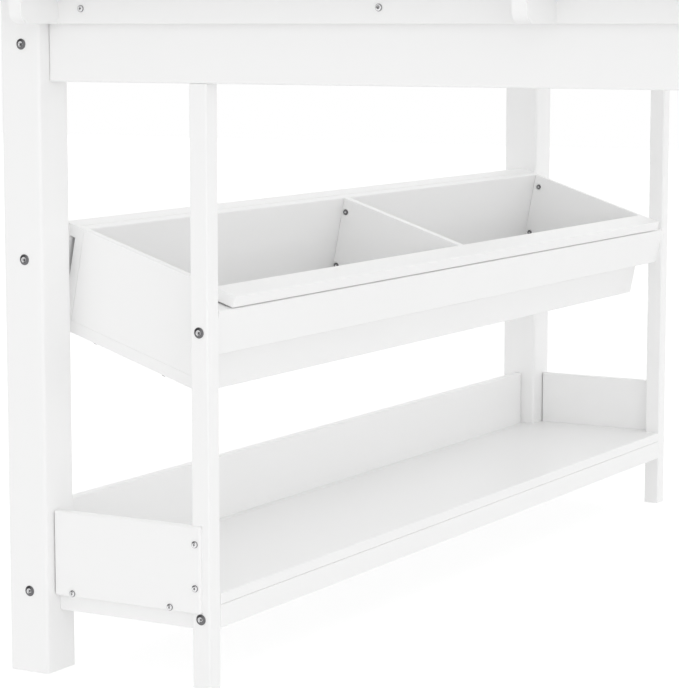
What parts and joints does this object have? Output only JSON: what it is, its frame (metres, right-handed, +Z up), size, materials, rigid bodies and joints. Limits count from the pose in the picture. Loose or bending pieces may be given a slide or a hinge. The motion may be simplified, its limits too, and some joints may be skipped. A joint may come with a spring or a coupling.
{
  "type": "potting bench",
  "caption": "White-painted potting bench: plank worktop on square posts, with a sloping divided tray and a low shelf between the rear posts and two thin legs.",
  "frame": {"origin": "centre of the bench's footprint, on the floor", "axes": "+X along the length of the worktop, +Y from the front towards the rear posts that carry the tray and shelf, +Z up"},
  "size_m": [1.68, 1.12, 0.914],
  "materials": {
    "painted_wood": "satin white paint on smooth softwood",
    "bolt_zinc": "dark zinc plate, hex socket heads",
    "screw_steel": "bright zinc plate, cross-recess heads",
    "dowel_wood": "bare beech"
  },
  "bodies": {
    "root": {"post_rear_left": "painted_wood", "post_rear_right": "painted_wood", "post_front_left": "painted_wood", "post_front_right": "painted_wood", "leg_left": "painted_wood", "leg_right": "painted_wood", "apron_left": "painted_wood", "apron_right": "painted_wood", "apron_rear": "painted_wood", "apron_front": "painted_wood", "fascia_left": "painted_wood", "fascia_right": "painted_wood", "bracket_left_1": "painted_wood", "bracket_left_2": "painted_wood", "bracket_left_3": "painted_wood", "bracket_right_1": "painted_wood", "bracket_right_2": "painted_wood", "bracket_right_3": "painted_wood", "batten_left": "painted_wood", "batten_right": "painted_wood", "bearer_left": "painted_wood", "bearer_right": "painted_wood", "plank_1": "painted_wood", "plank_2": "painted_wood", "plank_3": "painted_wood", "plank_4": "painted_wood", "plank_5": "painted_wood", "plank_6": "painted_wood", "plank_7": "painted_wood", "plank_8": "painted_wood", "tray_bottom": "painted_wood", "tray_end_left": "painted_wood", "tray_end_right": "painted_wood", "tray_divider": "painted_wood", "tray_front_board": "painted_wood", "tray_rear_board": "painted_wood", "tray_lip": "painted_wood", "tray_rim": "painted_wood", "tray_front_rail": "painted_wood", "tray_rear_rail": "painted_wood", "shelf_board": "painted_wood", "shelf_front_rail": "painted_wood", "shelf_rear_rail": "painted_wood", "shelf_side_rail_left": "painted_wood", "shelf_side_rail_right": "painted_wood", "shelf_back_panel": "painted_wood", "shelf_side_panel_left": "painted_wood", "shelf_side_panel_right": "painted_wood", "post_bolts": "bolt_zinc", "leg_bolts": "bolt_zinc", "apron_bolts": "bolt_zinc", "barrel_nuts": "screw_steel", "dowels": "dowel_wood", "panel_screws": "screw_steel", "shelf_screws": "screw_steel", "tray_pegs": "bolt_zinc", "tray_screws": "screw_steel", "fascia_screws": "screw_steel", "bracket_screws": "screw_steel", "plank_screws": "screw_steel"}
  },
  "joints": []
}
